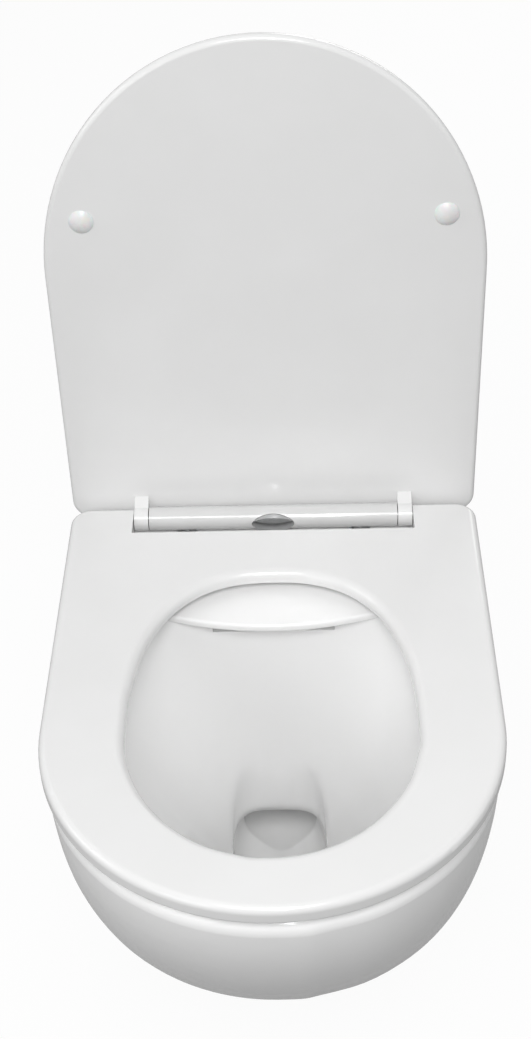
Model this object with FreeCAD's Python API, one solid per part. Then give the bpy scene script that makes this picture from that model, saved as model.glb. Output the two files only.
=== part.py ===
import FreeCAD, Part
import math
import os

os.makedirs("parts", exist_ok=True)

# Frame: millimetres, the wall is y = 0, the front points to -Y, +Z is up,
# and the origin lies on the wall midway between the two wall bolts.

# Pan
RIM_Z = 80.0
PAN_HEIGHT = 345.0
PAN_LENGTH = 519.0
RIM_HALF_WIDTH = 177.0
NOSE_CENTRE_Y = RIM_HALF_WIDTH - PAN_LENGTH
FOOT_NARROWING = 0.5
NOSE_SWEEP = 255.0
NOSE_SHIFT = 130.0
SKIRT_WALL = 11.0
DECK_THICKNESS = 16.0
RIM_BAND_DEPTH = 45.0
RIM_ROUND = 14.0
FOOT_ROUND = 16.0

# Bowl, sump and trapway
BOWL_WALL = 11.0
BOWL_INSET = 30.0
BOWL_HALF_WIDTH = RIM_HALF_WIDTH - BOWL_INSET
BOWL_FRONT_Y = BOWL_INSET - PAN_LENGTH
BOWL_REAR_Y = -187.0
BOWL_REAR_LEAN = 25.0
BOWL_EDGE_ROUND = 8.0
BOWL_EDGE_OVER = 0.2
BOWL_CENTRE_SHIFT = 80.0
BOWL_CURVE = 1.5
BOWL_REAR_FULLNESS = 4.5
BOWL_FOOT_FULLNESS = 2.0
BOWL_FULLNESS_FADE = 3.0
SUMP_Z = -190.0
SUMP_HALF_WIDTH = 44.0
SUMP_HALF_HEIGHT = 40.0
SUMP_FULLNESS = 4.0
SUMP_FRONT_Y = -311.0
SUMP_REAR_Y = -206.0
FUNNEL_STEP = 1.5
SHAFT_HALF_WIDTH = 43.0
SHAFT_REAR_Y = -205.0
SHAFT_DEPTH = 50.0
SHAFT_TOP_Z = -20.0
SHAFT_FOOT_Z = -170.0
SHAFT_FULLNESS = 4.0
TRAP_R = 34.0
TRAP_WALL = 9.0
TRAP_START_Y = -198.0
TRAP_MOUTH = 18.0
TRAP_MOUTH_LAP = 1.0
TRAP_RISE_ANGLE = 84.0
TRAP_BEND = 46.0
CROWN_Z = -70.0
OUTLET_Z = -100.0
OUTLET_R = 51.0
OUTLET_BORE_R = 45.0
OUTLET_RECESS = 2.0
OUTLET_LENGTH = 36.0

# Flush inlet, flush channel and ledge
INLET_Z = 35.0
INLET_RECESS = 3.0
INLET_DEPTH = 42.0
INLET_MOUTH_R = 33.0
INLET_TAPER = 2.0
INLET_WALL = 9.0
FLUSH_PIPE_R = 22.5
FLUSH_FIT = 0.25
CHANNEL_R = 22.0
CHANNEL_LENGTH = 70.0
RISER_R = 18.0
SLOT_HALF_WIDTH = 52.0
SLOT_HEIGHT = 12.0
SLOT_DROP = 2.0
SLOT_SETBACK = 6.0
SEAL_LEAD = 2.0
LEDGE_Y = -207.0
LEDGE_THICKNESS = 8.0
LEDGE_R = 272.0
LEDGE_SWING = 34.0
LEDGE_OVER = 0.3
LEDGE_ROUND = 3.0
LEDGE_FOOT_ROUND = 3.0
LEDGE_ROOT = 34.0

# Wall fixing
BOLT_SPACING = 180.0
BOLT_R = 6.0
THREAD_DEPTH = 0.8
SLEEVE_BORE_R = 6.5
SLEEVE_WALL = 2.0
SLEEVE_FLANGE_R = 15.0
SLEEVE_FLANGE = 3.0
LUG_THICKNESS = 32.0
POCKET_INNER_X = 58.0
POCKET_LENGTH = 80.0
POCKET_TOP_Z = 28.0
POCKET_FOOT_Z = -40.0
POCKET_ROUND = 14.0
WASHER_THICKNESS = 2.5
NUT_FLATS = 19.0
NUT_THICKNESS = 10.0
CAP_R = 14.0
CAP_WALL = 2.0
CAP_LENGTH = 30.0
CAP_ROUND = 4.0

# Hinge
HINGE_Y = -75.0
HINGE_Z = RIM_Z + 12.5
BARREL_R = 10.5
BAR_HALF_LENGTH = 110.5
BAR_BORE_R = 8.2
BAR_FLAT = 10.0
PILLAR_INSET = 33.0
PILLAR_X = BAR_HALF_LENGTH - PILLAR_INSET
PILLAR_R = 5.0
PILLAR_NECK_R = 2.2
PILLAR_FLANGE_R = 10.0
PILLAR_HEAD = 5.5
PILLAR_POINT = 2.0
PILLAR_GASKET = 1.0
ANCHOR_HOLE_R = 7.5
ANCHOR_SCREW_R = 4.0
ANCHOR_FOOT_Z = 46.0
ANCHOR_GAP = 1.0
ANCHOR_NUT_HEIGHT = 10.0
BUTTON_HALF_WIDTH = 18.5
BUTTON_HALF_HEIGHT = 8.0
BUTTON_PROUD = 13.0
BUTTON_BACK = 6.0
BUTTON_STROKE = 3.0
BUTTON_DOME = 70.0
WEDGE_HALF_WIDTH = 11.0
WEDGE_HALF_HEIGHT = 4.0
WEDGE_TIP = 1.0
LATCH_THICKNESS = 2.6
LATCH_REACH = 9.0
LATCH_END_X = PILLAR_X + LATCH_REACH
LATCH_MEET_X = 1.2
LATCH_LEAD = 2.0
LATCH_STEP = 5.0
SPRING_R = 5.0
SPRING_WIRE_R = 0.4
SPRING_TURNS = 3.5
DAMPER_LENGTH = 17.5
DAMPER_X = BAR_HALF_LENGTH - DAMPER_LENGTH
PIN_R = 4.0
PIN_GRIP = 12.5
PIN_START_X = BAR_HALF_LENGTH - PIN_GRIP
BUSH_R = 5.5
EAR_GAP = 0.8
EAR_X = BAR_HALF_LENGTH + EAR_GAP
EAR_WIDTH = 12.4
EAR_FOOT = 17.0
EAR_NOSE = 2.5
EAR_ROOT = 1.0
WING_X = EAR_X + EAR_WIDTH + EAR_GAP
WING_GRIP = 25.5
PIN_END_X = WING_X + WING_GRIP

# Seat and lid
SEAT_OVERHANG = 3.0
SEAT_HALF_WIDTH = RIM_HALF_WIDTH + SEAT_OVERHANG
SEAT_LIFT = 5.0
SEAT_THICKNESS = 15.0
SEAT_REAR_ROUND = 18.0
SEAT_EDGE_ROUND = 6.0
SEAT_UNDER_ROUND = 2.5
SEAT_INNER_ROUND = 7.0
SEAT_SIDE = 66.0
SEAT_FRONT = 51.0
HOLE_REAR_Y = -162.0
HOLE_HALF_WIDTH = SEAT_HALF_WIDTH - SEAT_SIDE
HOLE_FRONT = SEAT_HALF_WIDTH - SEAT_FRONT
HOLE_REAR = HOLE_REAR_Y - NOSE_CENTRE_Y
HOLE_UNDERCUT = 4.0
HOLE_UNDERCUT_WIDTH = 18.0
HOLE_FULLNESS = 2.5
NOTCH_Y = -101.8
NOTCH_ROUND = 3.0
SEAT_BUMPER_R = 7.0
SEAT_BUMPER_INSET = 21.0
SEAT_BUMPER_RING = SEAT_HALF_WIDTH - SEAT_BUMPER_INSET
SEAT_BUMPER_TURN = 40.0
SEAT_BUMPER_REAR_Y = -215.0
PEG_R = 2.5
PEG_LENGTH = 5.0
LID_CLEAR = 4.5
LID_THICKNESS = 12.0
LID_REAR = 8.0
LID_TOP_ROUND = 7.0
LID_UNDER_ROUND = 4.0
LID_NOSE_DRAW = 23.0
LID_NOSE_LENGTH = SEAT_HALF_WIDTH + LID_NOSE_DRAW
LID_NOSE_BACK = 26.0
LID_NOSE_REACH = HINGE_Y - NOSE_CENTRE_Y - LID_NOSE_BACK
LID_OPEN_ANGLE = 90.0
LID_BUMPER_R = 10.0
LID_BUMPER_INSET = 34.5
LID_BUMPER_X = SEAT_HALF_WIDTH - LID_BUMPER_INSET
LID_BUMPER_AHEAD = 52.0
LID_BUMPER_REACH = LID_NOSE_REACH + LID_BUMPER_AHEAD
LID_BUMPER_EDGE = 1.5

# Clearances
RUNNING = 0.1
LOOSE = 0.3
SEAT_GAP = 0.1
PIN_FIT = 0.05

# How far a cutting body reaches past the face it cuts
PAST = 5.0

NECK_HALF = LATCH_THICKNESS / 2 + LOOSE
BOLT_X = BOLT_SPACING / 2
LIP_FOOT_Z = RIM_Z + BOWL_EDGE_OVER - BOWL_EDGE_ROUND
SEAT_UNDER_Z = RIM_Z + SEAT_LIFT
SEAT_TOP_Z = SEAT_UNDER_Z + SEAT_THICKNESS
LID_UNDER_Z = SEAT_TOP_Z + LID_CLEAR
FLANGE_Y = -LUG_THICKNESS - SLEEVE_FLANGE
WASHER_Y = FLANGE_Y - WASHER_THICKNESS
BAR_FOOT_Z = HINGE_Z - BAR_FLAT
FLANGE_FOOT_Z = RIM_Z + PILLAR_GASKET
ANCHOR_NUT_Z = ANCHOR_FOOT_Z + ANCHOR_GAP
HINGE = FreeCAD.Vector(0, HINGE_Y, HINGE_Z)
X_AXIS = FreeCAD.Vector(1, 0, 0)
Y_AXIS = FreeCAD.Vector(0, 1, 0)
Z_AXIS = FreeCAD.Vector(0, 0, 1)


def at(x, y, z):
    return FreeCAD.Vector(x, y, z)


def rod(radius, start, end):
    """A round bar from one point to another."""
    along = end - start
    return Part.makeCylinder(radius, along.Length, start, along)


def tube(outer, inner, start, end):
    """A round bar with a hole along its whole length."""
    return rod(outer, start, end).cut(rod(inner, start, end))


def block(x0, x1, y0, y1, z0, z1):
    return Part.makeBox(x1 - x0, y1 - y0, z1 - z0, at(x0, y0, z0))


def closed(points):
    return Part.makePolygon(points + points[:1])


def prism(wire, along):
    return Part.Face(wire).extrude(along)


def quarter(centre, start, end, exponent):
    """A quarter of a superellipse from centre + start to centre + end."""
    points = []
    for i in range(9):
        turn = math.pi * i / 16
        along = math.cos(turn) ** (2 / exponent) if i < 8 else 0.0
        across = math.sin(turn) ** (2 / exponent)
        points.append(centre + start * along + end * across)
    curve = Part.BSplineCurve()
    curve.interpolate(points, InitialTangent=end, FinalTangent=-start)
    return curve.toShape()


def quarter_turns():
    """Sine and cosine of 0 to 90 degrees in even steps."""
    steps = 6
    turns = [math.pi / 2 * i / steps for i in range(steps + 1)]
    return [(math.sin(turn), math.cos(turn)) for turn in turns]


def mirrored(shape):
    """The same piece on the other side of the middle plane."""
    return shape.mirror(at(0, 0, 0), X_AXIS)


def pair(shape):
    """A piece and its mirror image, as separate solids."""
    return Part.makeCompound([shape, mirrored(shape)])


def edges_at(shape, test):
    """The edges whose middle point passes a test."""
    found = []
    for edge in shape.Edges:
        middle = edge.valueAt((edge.FirstParameter + edge.LastParameter) / 2)
        if test(middle):
            found.append(edge)
    return found


# Skirt
def skirt_wire(fall, inset, back_y):
    """The skirt's outline at a fall below the rim, drawn in by inset and closed along y = back_y."""
    t = fall / PAN_HEIGHT
    half = RIM_HALF_WIDTH * (1 - FOOT_NARROWING * t**2) - inset
    nose_y = -PAN_LENGTH + NOSE_SWEEP * t**2 + inset
    centre_y = NOSE_CENTRE_Y + NOSE_SHIFT * t**2
    z = RIM_Z - fall
    centre = at(0, centre_y, z)
    nose = at(0, nose_y - centre_y, 0)
    side = at(half, 0, 0)
    right = Part.makeLine(at(half, back_y, z), centre + side)
    left = Part.makeLine(centre - side, at(-half, back_y, z))
    back = Part.makeLine(at(-half, back_y, z), at(half, back_y, z))
    front = [quarter(centre, side, nose, 2), quarter(centre, nose, -side, 2)]
    return Part.Wire([right] + front + [left, back])


def skirt_solid(top, bottom, inset, back_y):
    """The skirt's body between two falls below the rim."""
    steps = 6
    falls = [top + (bottom - top) * i / steps for i in range(steps + 1)]
    return Part.makeLoft([skirt_wire(fall, inset, back_y) for fall in falls], True, False)


def skirt_round(start, end, radius):
    """The rounded edge that closes the skirt between two falls, drawn in along a quarter circle."""
    wires = []
    for sine, cosine in quarter_turns():
        wires.append(skirt_wire(start + (end - start) * sine, radius * (1 - cosine), 0.0))
    return Part.makeLoft(wires, True, False)


# Bowl
def bowl_shape(z):
    """The bowl's fall from rim to sump as 0 to 1, and how far it has closed in, as 1 to 0."""
    t = (RIM_Z - z) / (RIM_Z - SUMP_Z)
    t = min(max(t, 0.0), 1.0)
    return t, (1 - t**BOWL_CURVE) ** BOWL_CURVE


def bowl_rear(z):
    return BOWL_REAR_Y - BOWL_REAR_LEAN * bowl_shape(z)[0]


def bowl_wire(z, grow):
    """The bowl's outline at a height: an ellipse in front and a fuller curve at the rear."""
    t, spread = bowl_shape(z)
    narrow = SUMP_HALF_WIDTH - FUNNEL_STEP
    half = narrow + (BOWL_HALF_WIDTH - narrow) * spread + grow
    front_y = SUMP_FRONT_Y + FUNNEL_STEP + (BOWL_FRONT_Y - SUMP_FRONT_Y) * spread - grow
    centre = at(0, NOSE_CENTRE_Y + BOWL_CENTRE_SHIFT * t, z)
    side = at(half, 0, 0)
    rear = at(0, bowl_rear(z) + grow - centre.y, 0)
    front = at(0, front_y - centre.y, 0)
    fade = (1 - t) ** BOWL_FULLNESS_FADE
    full = BOWL_FOOT_FULLNESS + (BOWL_REAR_FULLNESS - BOWL_FOOT_FULLNESS) * fade
    return Part.Wire(
        [
            quarter(centre, side, rear, full),
            quarter(centre, rear, -side, full),
            quarter(centre, -side, front, 2),
            quarter(centre, front, side, 2),
        ]
    )


def oval_wire(centre, half_width, half_height, fullness):
    """A section across Y: an oval, or a rounded box where the fullness is high."""
    side = at(half_width, 0, 0)
    rise = at(0, 0, half_height)
    corners = [side, rise, -side, -rise]
    turns = [quarter(centre, corners[k - 1], corners[k], fullness) for k in range(4)]
    return Part.Wire(turns)


def sump_solid(grow):
    """The sump: a rounded nose in front, a full middle, and a mouth that narrows into the trap."""
    half_width = SUMP_HALF_WIDTH + grow
    half_height = SUMP_HALF_HEIGHT + grow
    nose_y = SUMP_FRONT_Y + SUMP_HALF_WIDTH
    nose = []
    for sine, cosine in quarter_turns()[1:]:
        centre = at(0, nose_y - half_width * cosine, SUMP_Z)
        nose.append(oval_wire(centre, half_width * sine, half_height * sine, SUMP_FULLNESS))
    middle = prism(nose[-1], at(0, SUMP_REAR_Y - nose_y, 0))
    full = oval_wire(at(0, SUMP_REAR_Y, SUMP_Z), half_width, half_height, SUMP_FULLNESS)
    mouth_z = SUMP_Z + TRAP_BEND - math.sqrt(TRAP_BEND**2 - TRAP_MOUTH**2)
    mouth_r = TRAP_R - TRAP_MOUTH_LAP + grow
    mouth = oval_wire(at(0, TRAP_START_Y + TRAP_MOUTH, mouth_z), mouth_r, mouth_r, 2)
    return Part.makeLoft(nose, True, False).fuse([middle, Part.makeLoft([full, mouth], True, True)])


def shaft_wire(z, grow):
    """The shaft's outline at a height."""
    centre = at(0, SHAFT_REAR_Y - SHAFT_DEPTH, z)
    side = at(SHAFT_HALF_WIDTH + grow, 0, 0)
    rear = at(0, SHAFT_DEPTH + grow, 0)
    return Part.Wire(
        [
            quarter(centre, side, rear, SHAFT_FULLNESS),
            quarter(centre, rear, -side, SHAFT_FULLNESS),
            quarter(centre, -side, -rear, 2),
            quarter(centre, -rear, side, 2),
        ]
    )


def bowl_solid(grow):
    """The bowl's hollow down to the sump, or its outside when grown by the wall."""
    steps = 8
    top = RIM_Z if grow else LIP_FOOT_Z
    levels = [top + (SUMP_Z - top) * i / steps for i in range(steps + 1)]
    funnel = Part.makeLoft([bowl_wire(z, grow) for z in levels], True, False)
    shaft = prism(shaft_wire(SHAFT_TOP_Z, grow), at(0, 0, SHAFT_FOOT_Z - SHAFT_TOP_Z))
    return funnel.fuse([sump_solid(grow), shaft])


def bowl_lip():
    """The rounded inner edge of the rim, opened out along a quarter circle."""
    wires = []
    for sine, cosine in quarter_turns():
        wires.append(bowl_wire(LIP_FOOT_Z + BOWL_EDGE_ROUND * sine, BOWL_EDGE_ROUND * (1 - cosine)))
    return Part.makeLoft(wires, True, False)


def trap_path():
    """The trap's centre line: in from the sump, up, over the weir and out to the wall."""
    turn = math.radians(TRAP_RISE_ANGLE)
    drop = CROWN_Z - OUTLET_Z
    fall_turn = math.acos(1 - drop / (2 * TRAP_BEND))
    climb = (CROWN_Z - SUMP_Z - 2 * TRAP_BEND * (1 - math.cos(turn))) / math.sin(turn)

    def arc(start, heading, bend):
        side = math.copysign(1.0, bend)
        centre = start + at(0, -math.sin(heading), math.cos(heading)) * (TRAP_BEND * side)
        spots = []
        for part in (0.5, 1.0):
            aim = heading + bend * part
            spots.append(centre - at(0, -math.sin(aim), math.cos(aim)) * (TRAP_BEND * side))
        return Part.Arc(start, spots[0], spots[1]).toShape(), spots[1]

    foot = at(0, TRAP_START_Y, SUMP_Z)
    rise, low = arc(foot, 0.0, turn)
    high = low + at(0, math.cos(turn), math.sin(turn)) * climb
    over, past = arc(high, turn, -turn - fall_turn)
    settle, level = arc(past, -fall_turn, fall_turn)
    out = at(0, PAST, OUTLET_Z)
    return Part.Wire([rise, Part.makeLine(low, high), over, settle, Part.makeLine(level, out)])


def trap_solid(radius):
    path = trap_path()
    start = path.Vertexes[0].Point
    ring = Part.Wire(Part.makeCircle(radius, start, Y_AXIS))
    return path.makePipeShell([ring], True, True)


def channel_solid(grow):
    """The flush channel: a round pipe, a riser, and a flat fan that ends in the slot under the ledge."""
    start = at(0, -INLET_RECESS - INLET_DEPTH, INLET_Z)
    foot = start - Y_AXIS * CHANNEL_LENGTH
    pipe = rod(CHANNEL_R + grow, start, foot - Y_AXIS * (RISER_R + grow))
    slot_z = RIM_Z - LEDGE_THICKNESS - SLOT_DROP - SLOT_HEIGHT / 2
    riser = rod(RISER_R + grow, foot, at(0, foot.y, slot_z))
    fan_z = slot_z - SLOT_HEIGHT / 2 - grow
    near = CHANNEL_R + grow
    half = SLOT_HALF_WIDTH + grow
    narrow_y = foot.y + near
    wide_y = narrow_y - SLOT_HALF_WIDTH + CHANNEL_R
    end_y = LEDGE_Y + SLOT_SETBACK - grow
    right = [at(near, narrow_y, fan_z), at(half, wide_y, fan_z), at(half, end_y, fan_z)]
    left = [at(-p.x, p.y, p.z) for p in reversed(right)]
    fan = prism(closed(right + left), at(0, 0, SLOT_HEIGHT + 2 * grow))
    return pipe.fuse([riser, fan])


def inlet_socket(grow):
    """The tapered socket for the inlet seal."""
    start = at(0, -INLET_RECESS, INLET_Z)
    mouth = INLET_MOUTH_R + grow
    return Part.makeCone(mouth, mouth - INLET_TAPER, INLET_DEPTH + grow, start, -Y_AXIS)


def fixing_pocket(grow):
    """The side pocket in front of a wall bolt, or its outside when grown by the wall."""
    rear = 0.0 if grow else -LUG_THICKNESS
    front = -LUG_THICKNESS - POCKET_LENGTH - grow
    outer_x = RIM_HALF_WIDTH + PAST
    inner_x = POCKET_INNER_X - grow
    body = block(inner_x, outer_x, front, rear, POCKET_FOOT_Z - grow, POCKET_TOP_Z + grow)
    if grow:
        return body
    along = edges_at(body, lambda p: inner_x < p.x - PAST and p.x + PAST < outer_x)
    return body.makeFillet(POCKET_ROUND, along)


def ledge_solid():
    """The rear ledge over the flush slot: a plate with a bowed front edge, rounded above."""
    top = RIM_Z + LEDGE_OVER
    foot = RIM_Z - LEDGE_THICKNESS
    rear = BOWL_REAR_Y + LEDGE_ROOT

    def edge(start, corner, end):
        middle = corner + (start + end - corner * 2) * (1 - math.sqrt(0.5))
        return Part.Arc(start, middle, end).toShape()

    high_corner = at(0, LEDGE_Y, top)
    low_corner = at(0, LEDGE_Y, foot)
    high = [high_corner - Z_AXIS * LEDGE_ROUND, high_corner + Y_AXIS * LEDGE_ROUND]
    low = [low_corner + Y_AXIS * LEDGE_FOOT_ROUND, low_corner + Z_AXIS * LEDGE_FOOT_ROUND]
    outline = [
        Part.makeLine(at(0, rear, foot), low[0]),
        edge(low[0], low_corner, low[1]),
        Part.makeLine(low[1], high[0]),
        edge(high[0], high_corner, high[1]),
        Part.makeLine(high[1], at(0, rear, top)),
        Part.makeLine(at(0, rear, top), at(0, rear, foot)),
    ]
    axis = at(0, LEDGE_Y + LEDGE_R, 0)
    section = Part.Face(Part.Wire(outline))
    section.rotate(axis, Z_AXIS, -LEDGE_SWING)
    return section.revolve(axis, Z_AXIS, 2 * LEDGE_SWING)


def make_pan():
    """The casting: skirt, deck and rim round the walls of the bowl, trap, flush channel and pockets."""
    foot_fall = PAN_HEIGHT - FOOT_ROUND
    outside = skirt_solid(RIM_ROUND, foot_fall, 0.0, 0.0)
    rim_edge = skirt_round(RIM_ROUND, 0.0, RIM_ROUND)
    outside = outside.fuse([rim_edge, skirt_round(foot_fall, PAN_HEIGHT, FOOT_ROUND)])
    inside = skirt_solid(DECK_THICKNESS, PAN_HEIGHT - SKIRT_WALL, SKIRT_WALL, PAST)
    band_z = RIM_Z - RIM_BAND_DEPTH
    rim_band = block(-RIM_HALF_WIDTH, RIM_HALF_WIDTH, -PAN_LENGTH, BOWL_REAR_Y, band_z, RIM_Z)
    inside = inside.cut(rim_band)

    foot_z = RIM_Z - PAN_HEIGHT
    in_front = block(-RIM_HALF_WIDTH, RIM_HALF_WIDTH, -PAN_LENGTH, -OUTLET_RECESS, foot_z, RIM_Z)
    trap_wall = trap_solid(TRAP_R + TRAP_WALL).common(in_front)
    spigot_rear = at(0, -OUTLET_RECESS, OUTLET_Z)
    spigot_front = spigot_rear - Y_AXIS * OUTLET_LENGTH
    spigot = rod(OUTLET_R, spigot_front, spigot_rear)
    pocket_wall = fixing_pocket(SKIRT_WALL)
    walls = [trap_wall, spigot, channel_solid(INLET_WALL), inlet_socket(INLET_WALL)]
    walls += [pocket_wall, mirrored(pocket_wall)]
    casting = outside.cut(inside).fuse(bowl_solid(BOWL_WALL).fuse(walls).common(outside))

    bowl = bowl_solid(0.0).fuse(bowl_lip()).cut(ledge_solid())
    spigot_bore = rod(OUTLET_BORE_R, spigot_front + Y_AXIS * TRAP_WALL, at(0, PAST, OUTLET_Z))
    pocket = fixing_pocket(0.0)
    hollows = [bowl, trap_solid(TRAP_R), spigot_bore, channel_solid(0.0), inlet_socket(0.0)]
    hollows += [pocket, mirrored(pocket)]
    for side in (-1, 1):
        bolt = at(side * BOLT_X, 0, 0)
        lug_front = bolt - Y_AXIS * (LUG_THICKNESS + PAST)
        hollows.append(rod(SLEEVE_BORE_R + SLEEVE_WALL + RUNNING, lug_front, bolt + Y_AXIS * PAST))
        anchor = at(side * PILLAR_X, HINGE_Y, ANCHOR_FOOT_Z)
        hollows.append(rod(ANCHOR_HOLE_R, anchor, at(anchor.x, anchor.y, RIM_Z + PAST)))
    return casting.cut(hollows)


# Wall fixing
def nut_solid(flats, thickness, bore, start, along):
    """A hexagon nut with a plain bore."""
    corner = flats / math.sqrt(3)
    turns = [k * math.pi / 3 for k in range(6)]
    points = [at(math.cos(turn), math.sin(turn), 0) * corner for turn in turns]
    nut = prism(closed(points), at(0, 0, thickness)).cut(Part.makeCylinder(bore, thickness))
    nut.Placement = FreeCAD.Placement(start, FreeCAD.Rotation(Z_AXIS, along))
    return nut


def make_wall_sleeve():
    body = rod(SLEEVE_BORE_R + SLEEVE_WALL, at(BOLT_X, -LUG_THICKNESS, 0), at(BOLT_X, 0, 0))
    flange = rod(SLEEVE_FLANGE_R, at(BOLT_X, FLANGE_Y, 0), at(BOLT_X, -LUG_THICKNESS, 0))
    return body.fuse(flange).cut(rod(SLEEVE_BORE_R, at(BOLT_X, FLANGE_Y, 0), at(BOLT_X, 0, 0)))


def make_wall_cap():
    """The pull-off cover over a wall nut, a cup with a rounded end."""
    start = at(BOLT_X, FLANGE_Y - SEAT_GAP / 2, 0)
    end = start - Y_AXIS * CAP_LENGTH
    cup = rod(CAP_R, start, end)
    cup = cup.makeFillet(CAP_ROUND, edges_at(cup, lambda p: abs(p.y - end.y) < 0.01))
    return cup.cut(rod(CAP_R - CAP_WALL, start, end + Y_AXIS * CAP_WALL))


def make_inlet_seal():
    """The tapered rubber sleeve that takes the flush pipe."""
    start = at(0, -INLET_RECESS, INLET_Z)
    mouth = INLET_MOUTH_R - SEAT_GAP
    body = Part.makeCone(mouth, mouth - INLET_TAPER, INLET_DEPTH, start, -Y_AXIS)
    bore = FLUSH_PIPE_R + FLUSH_FIT
    lead = Part.makeCone(bore + SEAL_LEAD, bore, SEAL_LEAD, start, -Y_AXIS)
    return body.cut([rod(bore, start, start - Y_AXIS * INLET_DEPTH), lead])


# Hinge
def make_pillar():
    """A turned pillar: screw, flange, pin, latch neck and pointed head."""
    profile = [
        (0, ANCHOR_NUT_Z),
        (ANCHOR_SCREW_R, ANCHOR_NUT_Z),
        (ANCHOR_SCREW_R, FLANGE_FOOT_Z),
        (PILLAR_FLANGE_R, FLANGE_FOOT_Z),
        (PILLAR_FLANGE_R, BAR_FOOT_Z),
        (PILLAR_R, BAR_FOOT_Z),
        (PILLAR_R, HINGE_Z - NECK_HALF),
        (PILLAR_NECK_R, HINGE_Z - NECK_HALF),
        (PILLAR_NECK_R, HINGE_Z + NECK_HALF),
        (PILLAR_R, HINGE_Z + NECK_HALF),
        (PILLAR_R, HINGE_Z + PILLAR_HEAD - PILLAR_POINT),
        (PILLAR_R - PILLAR_POINT, HINGE_Z + PILLAR_HEAD),
        (0, HINGE_Z + PILLAR_HEAD),
    ]
    wire = closed([at(PILLAR_X + r, HINGE_Y, z) for r, z in profile])
    return Part.Face(wire).revolve(at(PILLAR_X, HINGE_Y, 0), Z_AXIS, 360)


def on_pillar(outer, inner, foot, top):
    """A round piece on the pillar's axis."""
    return tube(outer, inner, at(PILLAR_X, HINGE_Y, foot), at(PILLAR_X, HINGE_Y, top))


def on_hinge(x, y=0.0, z=0.0):
    """A point given from the middle of the hinge axis."""
    return HINGE + at(x, y, z)


def oval(half_x, half_z, y0, y1):
    """An oval bar along Y, centred on the hinge axis."""
    ring = Part.Ellipse(on_hinge(half_x, y0), on_hinge(0, y0, half_z), on_hinge(0, y0)).toShape()
    return prism(Part.Wire(ring), at(0, y1 - y0, 0))


def make_hinge_bar():
    """The housing between the lid's ears: a tube with a flat foot, a button window and pillar sockets."""
    bar = tube(BARREL_R, BAR_BORE_R, on_hinge(-BAR_HALF_LENGTH), on_hinge(BAR_HALF_LENGTH))
    front_y = HINGE_Y - BARREL_R
    rear_y = HINGE_Y + BARREL_R
    foot = block(-BAR_HALF_LENGTH, BAR_HALF_LENGTH, front_y, rear_y, BAR_FOOT_Z - PAST, BAR_FOOT_Z)
    back = BUTTON_STROKE + WEDGE_TIP - BUTTON_BACK
    window = oval(BUTTON_HALF_WIDTH + LOOSE, BUTTON_HALF_HEIGHT + LOOSE, -BARREL_R - PAST, back)
    cuts = [foot, window]
    for side in (-1, 1):
        middle = on_hinge(side * PILLAR_X)
        cuts.append(rod(PILLAR_R + RUNNING, middle - Z_AXIS * BARREL_R, middle))
    return bar.cut(cuts)


def make_release_button():
    """The domed oval button with the wedge that spreads the latches."""
    pad = oval(BUTTON_HALF_WIDTH, BUTTON_HALF_HEIGHT, -BUTTON_PROUD, -BUTTON_BACK)
    pad = pad.common(Part.makeSphere(BUTTON_DOME, on_hinge(0, BUTTON_DOME - BUTTON_PROUD)))
    tip_y = WEDGE_HALF_WIDTH - WEDGE_TIP - BUTTON_BACK
    outline = [
        on_hinge(-WEDGE_HALF_WIDTH, -BUTTON_BACK, -WEDGE_HALF_HEIGHT),
        on_hinge(WEDGE_HALF_WIDTH, -BUTTON_BACK, -WEDGE_HALF_HEIGHT),
        on_hinge(WEDGE_TIP, tip_y, -WEDGE_HALF_HEIGHT),
        on_hinge(-WEDGE_TIP, tip_y, -WEDGE_HALF_HEIGHT),
    ]
    return pad.fuse(prism(closed(outline), Z_AXIS * (2 * WEDGE_HALF_HEIGHT)))


def make_latch():
    """The right-hand latch: a flat slide, slanted at the wedge, with an eye round the pillar's neck."""
    slant = WEDGE_HALF_WIDTH - BUTTON_BACK + RUNNING * math.sqrt(2)
    wide = math.sqrt(BAR_BORE_R**2 - (LATCH_THICKNESS / 2) ** 2) - RUNNING
    shoulder = BUTTON_HALF_WIDTH + LATCH_STEP
    low = -LATCH_THICKNESS / 2
    outline = [
        on_hinge(slant + LATCH_LEAD, -LATCH_LEAD, low),
        on_hinge(LATCH_MEET_X, slant - LATCH_MEET_X, low),
        on_hinge(LATCH_MEET_X, wide, low),
        on_hinge(LATCH_END_X, wide, low),
        on_hinge(LATCH_END_X, -wide, low),
        on_hinge(shoulder, -wide, low),
        on_hinge(shoulder, -LATCH_LEAD, low),
    ]
    strip = prism(closed(outline), at(0, 0, LATCH_THICKNESS))
    eye = on_hinge(PILLAR_X - BUTTON_STROKE, 0, low)
    return strip.cut(Part.makeCylinder(PILLAR_R + LOOSE, LATCH_THICKNESS, eye))


def make_latch_spring():
    """A coil between the latch's end and the damper."""
    span = DAMPER_X - LATCH_END_X - 2 * SPRING_WIRE_R
    path = Part.makeHelix(span / SPRING_TURNS, span, SPRING_R)
    ring = Part.Wire(Part.makeCircle(SPRING_WIRE_R, at(SPRING_R, 0, 0), Y_AXIS))
    coil = Part.Wire(path).makePipeShell([ring], True, True)
    start = on_hinge(LATCH_END_X + SPRING_WIRE_R)
    coil.Placement = FreeCAD.Placement(start, FreeCAD.Rotation(Z_AXIS, X_AXIS))
    return coil


def make_damper():
    """A rotary damper in the end of the bar, with a blind hole for its shaft."""
    body = rod(BAR_BORE_R - RUNNING, on_hinge(DAMPER_X), on_hinge(BAR_HALF_LENGTH))
    return body.cut(rod(PIN_R + RUNNING, on_hinge(PIN_START_X - RUNNING), on_hinge(BAR_HALF_LENGTH)))


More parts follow.
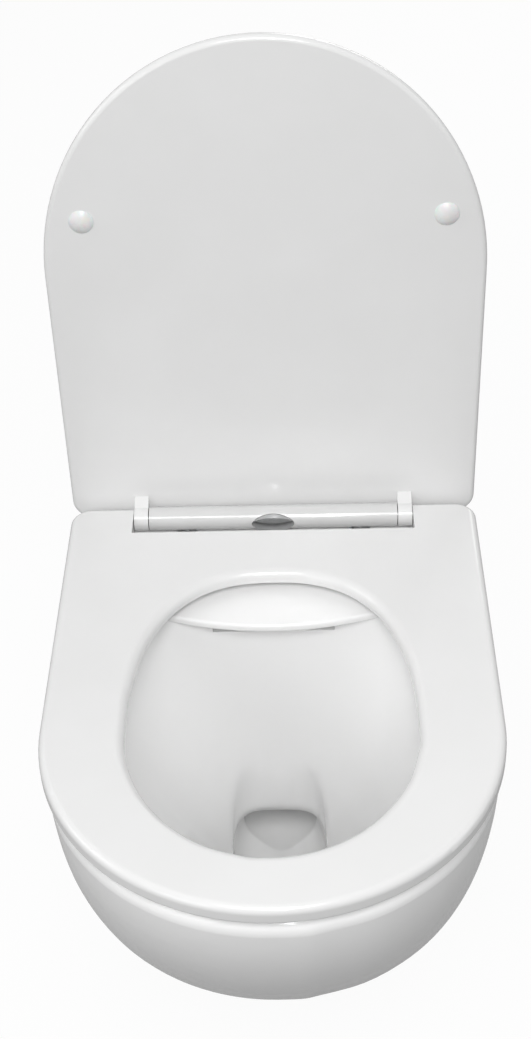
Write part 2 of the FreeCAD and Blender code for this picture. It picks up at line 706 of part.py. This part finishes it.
# Seat and lid
def seat_nose(z):
    """The half-round front of the seat."""
    half = SEAT_HALF_WIDTH
    y = NOSE_CENTRE_Y
    return Part.Arc(at(-half, y, z), at(0, y - half, z), at(half, y, z)).toShape()


def lid_nose(z):
    """The oval front of the lid, longer than it is wide."""
    centre = at(0, HINGE_Y - LID_NOSE_REACH, z)
    tip = centre - Y_AXIS * LID_NOSE_LENGTH
    curve = Part.Ellipse(tip, centre + X_AXIS * SEAT_HALF_WIDTH, centre)
    return Part.ArcOfEllipse(curve, -math.pi / 2, math.pi / 2).toShape()


def d_outline(nose, rear_y):
    """The D of seat and lid: a nose, straight sides and small rear corners."""
    soft = SEAT_REAR_ROUND * (1 - math.sqrt(0.5))
    left = nose.Vertexes[0].Point
    right = nose.Vertexes[1].Point
    back = rear_y - left.y
    side_left = left + Y_AXIS * (back - SEAT_REAR_ROUND)
    side_right = right + Y_AXIS * (back - SEAT_REAR_ROUND)
    rear_left = left + at(SEAT_REAR_ROUND, back, 0)
    rear_right = right + at(-SEAT_REAR_ROUND, back, 0)
    return Part.Wire(
        [
            nose,
            Part.makeLine(right, side_right),
            Part.Arc(side_right, right + at(-soft, back - soft, 0), rear_right).toShape(),
            Part.makeLine(rear_right, rear_left),
            Part.Arc(rear_left, left + at(soft, back - soft, 0), side_left).toShape(),
            Part.makeLine(side_left, left),
        ]
    )


def plate(nose, rear_y, thickness, foot_round, top_round):
    """A D-shaped plate with rounded edges, standing on its nose's height."""
    foot = nose.Vertexes[0].Point.z
    top = foot + thickness
    body = prism(d_outline(nose, rear_y), Z_AXIS * thickness)
    body = body.makeFillet(top_round, edges_at(body, lambda p: abs(p.z - top) < 0.01))
    return body.makeFillet(foot_round, edges_at(body, lambda p: abs(p.z - foot) < 0.01))


def hole_wire(grow, z):
    """The seat's opening, full at the rear and round in front."""
    centre = at(0, NOSE_CENTRE_Y, z)
    side = at(HOLE_HALF_WIDTH + grow, 0, 0)
    rear = at(0, HOLE_REAR + grow, 0)
    front = at(0, -HOLE_FRONT - grow, 0)
    return Part.Wire(
        [
            quarter(centre, side, rear, HOLE_FULLNESS),
            quarter(centre, rear, -side, HOLE_FULLNESS),
            quarter(centre, -side, front, 2),
            quarter(centre, front, side, 2),
        ]
    )


def seat_opening():
    """The space cut through the seat: rounded at the top, straight, then opened out underneath."""
    shoulder = SEAT_TOP_Z - SEAT_INNER_ROUND
    waist = SEAT_UNDER_Z + HOLE_UNDERCUT
    lip = []
    for sine, cosine in quarter_turns():
        lip.append(hole_wire(SEAT_INNER_ROUND * (1 - cosine), shoulder + SEAT_INNER_ROUND * sine))
    under = [hole_wire(HOLE_UNDERCUT_WIDTH, SEAT_UNDER_Z), hole_wire(0.0, waist)]
    straight = prism(hole_wire(0.0, waist), at(0, 0, shoulder - waist))
    return straight.fuse([Part.makeLoft(lip, True, False), Part.makeLoft(under, True, True)])


def seat_bumper_spots():
    """Where the seat's bumpers stand on the rim: two in front and two beside the bowl."""
    turn = math.radians(SEAT_BUMPER_TURN)
    front_x = SEAT_BUMPER_RING * math.sin(turn)
    front_y = NOSE_CENTRE_Y - SEAT_BUMPER_RING * math.cos(turn)
    spots = []
    for side in (-1, 1):
        spots.append(at(side * front_x, front_y, SEAT_UNDER_Z))
        spots.append(at(side * SEAT_BUMPER_RING, SEAT_BUMPER_REAR_Y, SEAT_UNDER_Z))
    return spots


def make_seat():
    rear_y = HINGE_Y + SEAT_THICKNESS / 2
    body = plate(seat_nose(SEAT_UNDER_Z), rear_y, SEAT_THICKNESS, SEAT_UNDER_ROUND, SEAT_EDGE_ROUND)
    notch = block(-WING_X, WING_X, NOTCH_Y, 0, SEAT_UNDER_Z - PAST, SEAT_TOP_Z + PAST)
    body = body.cut([notch, seat_opening()])
    edge = edges_at(body, lambda p: abs(p.y - NOTCH_Y) < 0.01 and abs(p.z - SEAT_TOP_Z) < 0.01)
    body = body.makeFillet(NOTCH_ROUND, edge)
    holes = [
        rod(PIN_R + PIN_FIT, on_hinge(-PIN_END_X - LOOSE), on_hinge(-WING_X)),
        rod(BUSH_R + PIN_FIT, on_hinge(WING_X), on_hinge(PIN_END_X + LOOSE)),
    ]
    holes += [rod(PEG_R + PIN_FIT, p, p + Z_AXIS * (PEG_LENGTH + LOOSE)) for p in seat_bumper_spots()]
    return body.cut(holes)


def make_seat_bumpers():
    bumpers = []
    for p in seat_bumper_spots():
        pad = rod(SEAT_BUMPER_R, p - Z_AXIS * (SEAT_LIFT - SEAT_GAP), p)
        bumpers.append(pad.fuse(rod(PEG_R, p, p + Z_AXIS * PEG_LENGTH)))
    return Part.makeCompound(bumpers)


def lid_bumper_spot():
    return at(LID_BUMPER_X, HINGE_Y - LID_BUMPER_REACH, LID_UNDER_Z)


def make_lid():
    """The lid, drawn closed: plate, two hinge ears and the bumpers' holes."""
    rear_y = HINGE_Y + LID_REAR
    body = plate(lid_nose(LID_UNDER_Z), rear_y, LID_THICKNESS, LID_UNDER_ROUND, LID_TOP_ROUND)
    root = LID_UNDER_Z + EAR_ROOT - HINGE_Z
    graze = math.sqrt(BARREL_R**2 - EAR_NOSE**2)
    for side in (-1, 1):
        start = side * EAR_X
        web = [
            on_hinge(start, LID_REAR, root),
            on_hinge(start, -EAR_FOOT, root),
            on_hinge(start, -graze, EAR_NOSE),
            on_hinge(start, LID_REAR, 0),
        ]
        ear = prism(closed(web), at(side * EAR_WIDTH, 0, 0))
        body = body.fuse([ear, rod(BARREL_R, on_hinge(start), on_hinge(start + side * EAR_WIDTH))])
    peg = lid_bumper_spot()
    holes = [
        rod(BUSH_R + PIN_FIT, on_hinge(-EAR_X - EAR_WIDTH), on_hinge(-EAR_X)),
        rod(PIN_R + PIN_FIT, on_hinge(EAR_X), on_hinge(EAR_X + EAR_WIDTH)),
    ]
    for side in (-1, 1):
        foot = at(side * peg.x, peg.y, peg.z)
        holes.append(rod(PEG_R + PIN_FIT, foot, foot + Z_AXIS * (PEG_LENGTH + LOOSE)))
    return body.cut(holes)


def make_lid_bumper():
    """A domed rubber button that carries the closed lid on the seat."""
    foot = lid_bumper_spot()
    height = LID_CLEAR - LOOSE
    dome = (LID_BUMPER_R**2 + height**2) / (2 * height) + LID_BUMPER_EDGE
    pad = rod(LID_BUMPER_R, foot - Z_AXIS * height, foot)
    pad = pad.common(Part.makeSphere(dome, foot + Z_AXIS * (dome - height)))
    return pad.fuse(rod(PEG_R, foot, foot + Z_AXIS * PEG_LENGTH))


def opened(shape):
    """A piece of the lid turned from closed to its rest against the open stop."""
    turned = shape.copy()
    turned.rotate(HINGE, X_AXIS, -LID_OPEN_ANGLE)
    return turned


latch = make_latch()
cap = make_wall_cap()
damper = make_damper()
washer_front = at(BOLT_X, WASHER_Y, 0)
washer = tube(CAP_R - CAP_WALL - SEAT_GAP, SLEEVE_BORE_R, washer_front, at(BOLT_X, FLANGE_Y, 0))
nut = nut_solid(NUT_FLATS, NUT_THICKNESS, BOLT_R - THREAD_DEPTH, washer_front, -Y_AXIS)
gasket = on_pillar(PILLAR_FLANGE_R, ANCHOR_SCREW_R + SEAT_GAP, RIM_Z, FLANGE_FOOT_Z)
anchor_nut_top = ANCHOR_NUT_Z + ANCHOR_NUT_HEIGHT
anchor_r = ANCHOR_HOLE_R - SEAT_GAP
anchor_sleeve = on_pillar(anchor_r, ANCHOR_SCREW_R + SEAT_GAP, anchor_nut_top, RIM_Z)
anchor_nut = on_pillar(anchor_r - SEAT_GAP, ANCHOR_SCREW_R + PIN_FIT, ANCHOR_NUT_Z, anchor_nut_top)
shaft = rod(PIN_R, on_hinge(PIN_START_X), on_hinge(PIN_END_X))
ear_bush = tube(BUSH_R, PIN_R + RUNNING, on_hinge(-EAR_X - EAR_WIDTH), on_hinge(-EAR_X))
wing_bush = tube(BUSH_R, PIN_R + RUNNING, on_hinge(WING_X), on_hinge(PIN_END_X))

pieces = {
    "pan": make_pan(),
    "wall_sleeves": pair(make_wall_sleeve()),
    "wall_washers": pair(washer),
    "wall_nuts": pair(nut),
    "wall_cap_left": mirrored(cap),
    "wall_cap_right": cap,
    "inlet_seal": make_inlet_seal(),
    "hinge_pillars": pair(make_pillar()),
    "pillar_gaskets": pair(gasket),
    "anchor_sleeves": pair(anchor_sleeve),
    "anchor_nuts": pair(anchor_nut),
    "hinge_bar": make_hinge_bar(),
    "release_button": make_release_button(),
    "latch_left": mirrored(latch),
    "latch_right": latch,
    "latch_springs": pair(make_latch_spring()),
    "seat_damper": mirrored(damper),
    "lid_damper": damper,
    "seat_shaft": mirrored(shaft),
    "lid_shaft": opened(shaft),
    "ear_bush": opened(ear_bush),
    "wing_bush": wing_bush,
    "seat": make_seat(),
    "seat_bumpers": make_seat_bumpers(),
    "lid": opened(make_lid()),
    "lid_bumpers": opened(pair(make_lid_bumper())),
}

for name, shape in pieces.items():
    print(name, len(shape.Solids), shape.isValid(), round(shape.Volume / 1000, 2), "cm3")
    shape.exportStep("parts/" + name + ".step")
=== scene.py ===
import math

import bmesh
import bpy
from mathutils import Matrix, Vector


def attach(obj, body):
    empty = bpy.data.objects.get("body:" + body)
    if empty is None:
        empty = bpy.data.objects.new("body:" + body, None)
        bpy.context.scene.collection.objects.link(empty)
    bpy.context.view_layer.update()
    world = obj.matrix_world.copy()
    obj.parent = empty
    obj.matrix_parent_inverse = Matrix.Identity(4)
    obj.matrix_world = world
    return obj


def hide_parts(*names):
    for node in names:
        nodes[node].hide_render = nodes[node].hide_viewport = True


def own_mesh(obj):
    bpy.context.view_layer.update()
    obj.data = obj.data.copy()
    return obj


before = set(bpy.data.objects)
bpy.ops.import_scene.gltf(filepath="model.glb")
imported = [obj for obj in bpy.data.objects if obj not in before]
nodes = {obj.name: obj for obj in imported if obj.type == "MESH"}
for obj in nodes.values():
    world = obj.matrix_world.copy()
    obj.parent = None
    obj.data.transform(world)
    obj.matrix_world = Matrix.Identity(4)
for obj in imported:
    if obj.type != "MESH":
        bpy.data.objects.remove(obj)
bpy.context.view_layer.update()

# Camera, measured from the photograph
IMAGE_WIDTH = 531
IMAGE_HEIGHT = 1039
FOCAL_PIXELS = 1713.0
SENSOR = 36.0
CLIP_NEAR = 0.05
CLIP_FAR = 100.0
CAMERA_PLACE = Vector((0.029, -1.2778, 1.043))
CAMERA_YAW = math.radians(-1.71)
CAMERA_PITCH = math.radians(38.4)
CAMERA_ROLL = math.radians(-2.12)

# Floor: dark to the lamps' light, pale to the camera, and partly pale to what mirrors it. The white
# share has its own light, and the rest takes the object's shadow.
FLOOR_Z = -0.32
FLOOR_HALF = 6.0
FLOOR_TONE = 0.15
FLOOR_PALE = 0.9
FLOOR_WHITE = 0.93
FLOOR_MIRRORED = 0.25

# Lamps: a name, a place, a width, a height and watts. The key is broad and over the camera, the
# strip beside it is tall and makes the highlights, and the fills stand around.
FILL_SIZE = 1.2
LAMPS = (
    ("key", (0.0, -1.45, 1.55), 0.9, 0.55, 13.8),
    ("strip", (0.05, -1.4, 1.3), 0.1, 1.0, 5.0),
    ("front_left", (-1.6, -2.4, 1.1), FILL_SIZE, FILL_SIZE, 8.5),
    ("left", (-2.4, -0.5, 1.4), FILL_SIZE, FILL_SIZE, 12.0),
    ("right", (2.4, -0.5, 1.4), FILL_SIZE, FILL_SIZE, 5.0),
    ("back", (0.7, 2.3, 1.2), FILL_SIZE, FILL_SIZE, 12.0),
)
LAMP_TARGET = Vector((0.0, -0.3, 0.1))
WORLD_LIGHT = 0.43

# The least and most that the glaze rounds a corner, and the sump where it rounds most
CORNER_LEAST = 0.0015
CORNER_MOST = 0.03
CORNER_SAMPLES = 8
SUMP_PLACE = (0.0, -0.22, -0.11)
SUMP_REACH = (0.14, 0.12, 0.15)

# An edge that turns by more than this stays sharp in the shading
SHARP_ANGLE = math.radians(32.0)

# The middle part of a noise, where most of its values lie
NOISE_LOW = 0.3
NOISE_HIGH = 0.7


def add_camera():
    """The photograph's camera, turned by its yaw, pitch and roll."""
    ahead = Vector(
        (
            math.sin(CAMERA_YAW) * math.cos(CAMERA_PITCH),
            math.cos(CAMERA_YAW) * math.cos(CAMERA_PITCH),
            -math.sin(CAMERA_PITCH),
        )
    )
    level = Vector((math.cos(CAMERA_YAW), -math.sin(CAMERA_YAW), 0.0))
    upright = level.cross(ahead)
    right = level * math.cos(CAMERA_ROLL) + upright * math.sin(CAMERA_ROLL)
    up = upright * math.cos(CAMERA_ROLL) - level * math.sin(CAMERA_ROLL)
    data = bpy.data.cameras.new("camera")
    data.sensor_width = SENSOR
    data.lens = FOCAL_PIXELS / max(IMAGE_WIDTH, IMAGE_HEIGHT) * SENSOR
    data.clip_start = CLIP_NEAR
    data.clip_end = CLIP_FAR
    camera = bpy.data.objects.new("camera", data)
    turn = Matrix((right, up, -ahead)).transposed().to_4x4()
    camera.matrix_world = Matrix.Translation(CAMERA_PLACE) @ turn
    bpy.context.scene.collection.objects.link(camera)
    bpy.context.scene.camera = camera


class Finish:
    """A material under construction: a shader and the nodes that feed it."""

    def __init__(self, name):
        self.material = bpy.data.materials.new(name)
        self.material.use_nodes = True
        self.tree = self.material.node_tree
        self.tree.nodes.clear()
        self.shader = self.add("ShaderNodeBsdfPrincipled")
        output = self.add("ShaderNodeOutputMaterial")
        self.link(self.shader.outputs["BSDF"], output.inputs["Surface"])
        self.place = self.add("ShaderNodeTexCoord").outputs["Object"]

    def add(self, kind):
        return self.tree.nodes.new(kind)

    def link(self, source, target):
        self.tree.links.new(source, target)

    def set(self, **values):
        """Values straight on the shader's sockets, with _ for a space in a name."""
        for key, value in values.items():
            self.shader.inputs[key.replace("_", " ")].default_value = value

    def noise(self, scale, detail, stretch=None):
        """A noise value over the piece, drawn out along an axis where a stretch is given."""
        place = self.place
        if stretch:
            mapping = self.add("ShaderNodeMapping")
            mapping.inputs["Scale"].default_value = stretch
            self.link(place, mapping.inputs["Vector"])
            place = mapping.outputs["Vector"]
        node = self.add("ShaderNodeTexNoise")
        node.inputs["Scale"].default_value = scale
        node.inputs["Detail"].default_value = detail
        self.link(place, node.inputs["Vector"])
        return node.outputs["Fac"]

    def colours(self, source, dark, light):
        """A base colour between dark and light."""
        ramp = self.add("ShaderNodeValToRGB")
        ramp.color_ramp.elements[0].position = NOISE_LOW
        ramp.color_ramp.elements[1].position = NOISE_HIGH
        ramp.color_ramp.elements[0].color = (*dark, 1.0)
        ramp.color_ramp.elements[1].color = (*light, 1.0)
        self.link(source, ramp.inputs["Fac"])
        self.link(ramp.outputs["Color"], self.shader.inputs["Base Color"])

    def roughness(self, source, low, high):
        """A roughness between low and high."""
        spread = self.add("ShaderNodeMapRange")
        spread.inputs["From Min"].default_value = NOISE_LOW
        spread.inputs["From Max"].default_value = NOISE_HIGH
        spread.inputs["To Min"].default_value = low
        spread.inputs["To Max"].default_value = high
        self.link(source, spread.inputs["Value"])
        self.link(spread.outputs["Result"], self.shader.inputs["Roughness"])

    def bump(self, source, strength, depth):
        """A relief in the shading, as deep as a real one in metres."""
        node = self.add("ShaderNodeBump")
        node.inputs["Strength"].default_value = strength
        node.inputs["Distance"].default_value = depth
        self.link(source, node.inputs["Height"])
        self.link(node.outputs["Normal"], self.shader.inputs["Normal"])
        return node

    def near(self, centre, reach):
        """1 at a place on the piece, falling to 0 along an ellipsoid round it."""
        mapping = self.add("ShaderNodeMapping")
        mapping.vector_type = "TEXTURE"
        mapping.inputs["Location"].default_value = centre
        mapping.inputs["Scale"].default_value = reach
        self.link(self.place, mapping.inputs["Vector"])
        ball = self.add("ShaderNodeTexGradient")
        ball.gradient_type = "QUADRATIC_SPHERE"
        self.link(mapping.outputs["Vector"], ball.inputs["Vector"])
        return ball.outputs["Fac"]

    def soften(self, bump, source, low, high):
        """Round the look of the edges, by more where the source is high."""
        spread = self.add("ShaderNodeMapRange")
        spread.inputs["To Min"].default_value = low
        spread.inputs["To Max"].default_value = high
        self.link(source, spread.inputs["Value"])
        node = self.add("ShaderNodeBevel")
        node.samples = CORNER_SAMPLES
        self.link(spread.outputs["Result"], node.inputs["Radius"])
        self.link(node.outputs["Normal"], bump.inputs["Normal"])


def glaze():
    """White vitreous glaze: a faint drift of tone, slow waves, and corners that it fills."""
    finish = Finish("glaze")
    finish.set(IOR=1.52)
    finish.colours(finish.noise(9.0, 3.0), (0.9, 0.9, 0.898), (0.915, 0.915, 0.914))
    finish.roughness(finish.noise(60.0, 2.0), 0.07, 0.11)
    wave = finish.bump(finish.noise(26.0, 2.0), 0.06, 0.002)
    finish.soften(wave, finish.near(SUMP_PLACE, SUMP_REACH), CORNER_LEAST, CORNER_MOST)
    return finish.material


def resin():
    """Moulded thermoset of seat and lid: polished, with a fine orange peel."""
    finish = Finish("resin")
    finish.set(IOR=1.5)
    finish.colours(finish.noise(14.0, 2.0), (0.765, 0.765, 0.763), (0.78, 0.78, 0.779))
    finish.roughness(finish.noise(90.0, 2.0), 0.13, 0.19)
    finish.bump(finish.noise(420.0, 2.0), 0.05, 0.0004)
    return finish.material


def hinge_plastic():
    """Polished moulded plastic of the hinge bar and the nut covers."""
    finish = Finish("hinge_plastic")
    finish.set(IOR=1.49)
    finish.colours(finish.noise(30.0, 2.0), (0.65, 0.65, 0.648), (0.67, 0.67, 0.668))
    finish.roughness(finish.noise(160.0, 2.0), 0.1, 0.16)
    finish.bump(finish.noise(700.0, 2.0), 0.04, 0.0003)
    return finish.material


def chrome():
    """Plated and polished, with faint wipe marks across the button."""
    finish = Finish("chrome")
    finish.set(Metallic=1.0)
    finish.colours(finish.noise(120.0, 2.0), (0.52, 0.525, 0.53), (0.58, 0.585, 0.59))
    finish.roughness(finish.noise(160.0, 3.0, (0.3, 6.0, 6.0)), 0.06, 0.14)
    finish.bump(finish.noise(500.0, 2.0, (0.2, 4.0, 4.0)), 0.03, 0.0002)
    return finish.material


def turned_metal(name, dark, light, stretch):
    """Bright metal with fine tool marks drawn out round the piece."""
    finish = Finish(name)
    finish.set(Metallic=1.0)
    marks = finish.noise(300.0, 3.0, stretch)
    finish.colours(marks, dark, light)
    finish.roughness(marks, 0.24, 0.42)
    finish.bump(marks, 0.12, 0.0002)
    return finish.material


def matt_plastic(name, dark, light):
    """Moulded engineering plastic with a fine eroded grain."""
    finish = Finish(name)
    finish.set(IOR=1.48)
    finish.colours(finish.noise(80.0, 3.0), dark, light)
    finish.roughness(finish.noise(240.0, 2.0), 0.4, 0.55)
    finish.bump(finish.noise(1500.0, 3.0), 0.15, 0.0002)
    return finish.material


def rubber(name, dark, light, low, high, glow=0.0):
    """Soft rubber with a dull, slightly uneven skin."""
    finish = Finish(name)
    finish.set(IOR=1.45, Subsurface_Weight=glow, Subsurface_Scale=0.004)
    finish.colours(finish.noise(110.0, 3.0), dark, light)
    finish.roughness(finish.noise(260.0, 2.0), low, high)
    finish.bump(finish.noise(1100.0, 3.0), 0.12, 0.0002)
    return finish.material


def dress(material, *names):
    """Give nodes a material and smooth shading. Their shape stays as it is."""
    for name in names:
        mesh = nodes[name].data
        mesh.materials.clear()
        mesh.materials.append(material)
        mesh.shade_smooth()
        mesh.set_sharp_from_angle(angle=SHARP_ANGLE)


def dress_all():
    dress(glaze(), "pan")
    dress(resin(), "seat", "lid")
    dress(hinge_plastic(), "hinge_bar", "wall_cap_left", "wall_cap_right")
    dress(chrome(), "release_button")
    steel = turned_metal("stainless", (0.48, 0.485, 0.49), (0.58, 0.585, 0.59), (1.0, 1.0, 9.0))
    dress(steel, "hinge_pillars", "latch_springs", "seat_shaft", "lid_shaft")
    zinc = turned_metal("zinc", (0.46, 0.47, 0.48), (0.6, 0.61, 0.62), (1.0, 5.0, 1.0))
    dress(zinc, "wall_washers", "wall_nuts")
    nylon = matt_plastic("nylon", (0.68, 0.675, 0.65), (0.74, 0.735, 0.71))
    dress(nylon, "wall_sleeves", "ear_bush", "wing_bush")
    acetal = matt_plastic("acetal", (0.05, 0.052, 0.055), (0.07, 0.072, 0.076))
    dress(acetal, "anchor_nuts", "latch_left", "latch_right", "seat_damper", "lid_damper")
    pads = rubber("clear_rubber", (0.74, 0.742, 0.738), (0.77, 0.772, 0.768), 0.26, 0.36, 0.3)
    dress(pads, "seat_bumpers", "lid_bumpers", "pillar_gaskets")
    black = rubber("black_rubber", (0.018, 0.018, 0.018), (0.03, 0.03, 0.03), 0.5, 0.65)
    dress(black, "inlet_seal")
    grey = rubber("grey_rubber", (0.1, 0.1, 0.1), (0.13, 0.13, 0.13), 0.5, 0.65)
    dress(grey, "anchor_sleeves")


def add_springs():
    """The latch springs as two pieces, each pressed against its damper, and both fixed to the pan.
    """
    node = nodes["latch_springs"]
    for side, name in ((-1, "spring_left"), (1, "spring_right")):
        shape = bmesh.new()
        shape.from_mesh(node.data)
        others = [v for v in shape.verts if v.co.x * side < 0.0]
        bmesh.ops.delete(shape, geom=others, context="VERTS")
        mesh = node.data.copy()
        shape.to_mesh(mesh)
        shape.free()
        spring = bpy.data.objects.new(name, mesh)
        spring.matrix_world = node.matrix_world
        bpy.context.scene.collection.objects.link(spring)
        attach(spring, "pan")
        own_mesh(spring)
        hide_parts("latch_springs")


def background_rays(tree, mirrored):
    """1 for the camera's rays, the mirrored share for gloss and glass, 0 for the light itself."""
    path = tree.nodes.new("ShaderNodeLightPath")
    bounced = tree.nodes.new("ShaderNodeMath")
    bounced.operation = "MAXIMUM"
    tree.links.new(path.outputs["Is Glossy Ray"], bounced.inputs[0])
    tree.links.new(path.outputs["Is Transmission Ray"], bounced.inputs[1])
    part = tree.nodes.new("ShaderNodeMath")
    part.operation = "MULTIPLY"
    part.inputs[1].default_value = mirrored
    tree.links.new(bounced.outputs[0], part.inputs[0])
    seen = tree.nodes.new("ShaderNodeMath")
    seen.operation = "MAXIMUM"
    tree.links.new(path.outputs["Is Camera Ray"], seen.inputs[0])
    tree.links.new(part.outputs[0], seen.inputs[1])
    return seen.outputs[0]


def add_floor():
    """A white floor for the camera that keeps the object's shadow."""
    reach = FLOOR_HALF
    corners = [(-reach, -reach), (reach, -reach), (reach, reach), (-reach, reach)]
    mesh = bpy.data.meshes.new("floor")
    mesh.from_pydata([(x, y, FLOOR_Z) for x, y in corners], [], [(0, 1, 2, 3)])
    floor = bpy.data.objects.new("floor", mesh)
    bpy.context.scene.collection.objects.link(floor)
    material = bpy.data.materials.new("floor")
    material.use_nodes = True
    tree = material.node_tree
    tree.nodes.clear()
    seen = background_rays(tree, FLOOR_MIRRORED)
    tone = tree.nodes.new("ShaderNodeMapRange")
    tone.inputs["To Min"].default_value = FLOOR_TONE
    tone.inputs["To Max"].default_value = FLOOR_PALE
    tree.links.new(seen, tone.inputs["Value"])
    matt = tree.nodes.new("ShaderNodeBsdfDiffuse")
    tree.links.new(tone.outputs["Result"], matt.inputs["Color"])
    white = tree.nodes.new("ShaderNodeEmission")
    white.inputs["Strength"].default_value = 1.0
    share = tree.nodes.new("ShaderNodeMapRange")
    share.inputs["To Max"].default_value = FLOOR_WHITE
    tree.links.new(seen, share.inputs["Value"])
    mix = tree.nodes.new("ShaderNodeMixShader")
    tree.links.new(share.outputs["Result"], mix.inputs["Fac"])
    tree.links.new(matt.outputs["BSDF"], mix.inputs[1])
    tree.links.new(white.outputs["Emission"], mix.inputs[2])
    output = tree.nodes.new("ShaderNodeOutputMaterial")
    tree.links.new(mix.outputs["Shader"], output.inputs["Surface"])
    mesh.materials.append(material)


def add_world():
    """White for the camera and for reflections, and an even light on the object."""
    world = bpy.data.worlds.new("studio")
    bpy.context.scene.world = world
    world.use_nodes = True
    tree = world.node_tree
    tree.nodes.clear()
    level = tree.nodes.new("ShaderNodeMapRange")
    level.inputs["To Min"].default_value = WORLD_LIGHT
    level.inputs["To Max"].default_value = 1.0
    tree.links.new(background_rays(tree, 1.0), level.inputs["Value"])
    sky = tree.nodes.new("ShaderNodeBackground")
    sky.inputs["Color"].default_value = (1.0, 1.0, 1.0, 1.0)
    tree.links.new(level.outputs["Result"], sky.inputs["Strength"])
    output = tree.nodes.new("ShaderNodeOutputWorld")
    tree.links.new(sky.outputs["Background"], output.inputs["Surface"])


def add_lamp(name, place, width, height, watts):
    """An area lamp that faces the object."""
    data = bpy.data.lights.new(name, "AREA")
    data.shape = "RECTANGLE"
    data.size = width
    data.size_y = height
    data.energy = watts
    lamp = bpy.data.objects.new(name, data)
    lamp.location = place
    aim = LAMP_TARGET - Vector(place)
    lamp.rotation_euler = aim.to_track_quat("-Z", "Y").to_euler()
    bpy.context.scene.collection.objects.link(lamp)


add_camera()
dress_all()
add_springs()
add_floor()
add_world()
for lamp_values in LAMPS:
    add_lamp(*lamp_values)

bpy.context.scene.view_settings.view_transform = "Standard"
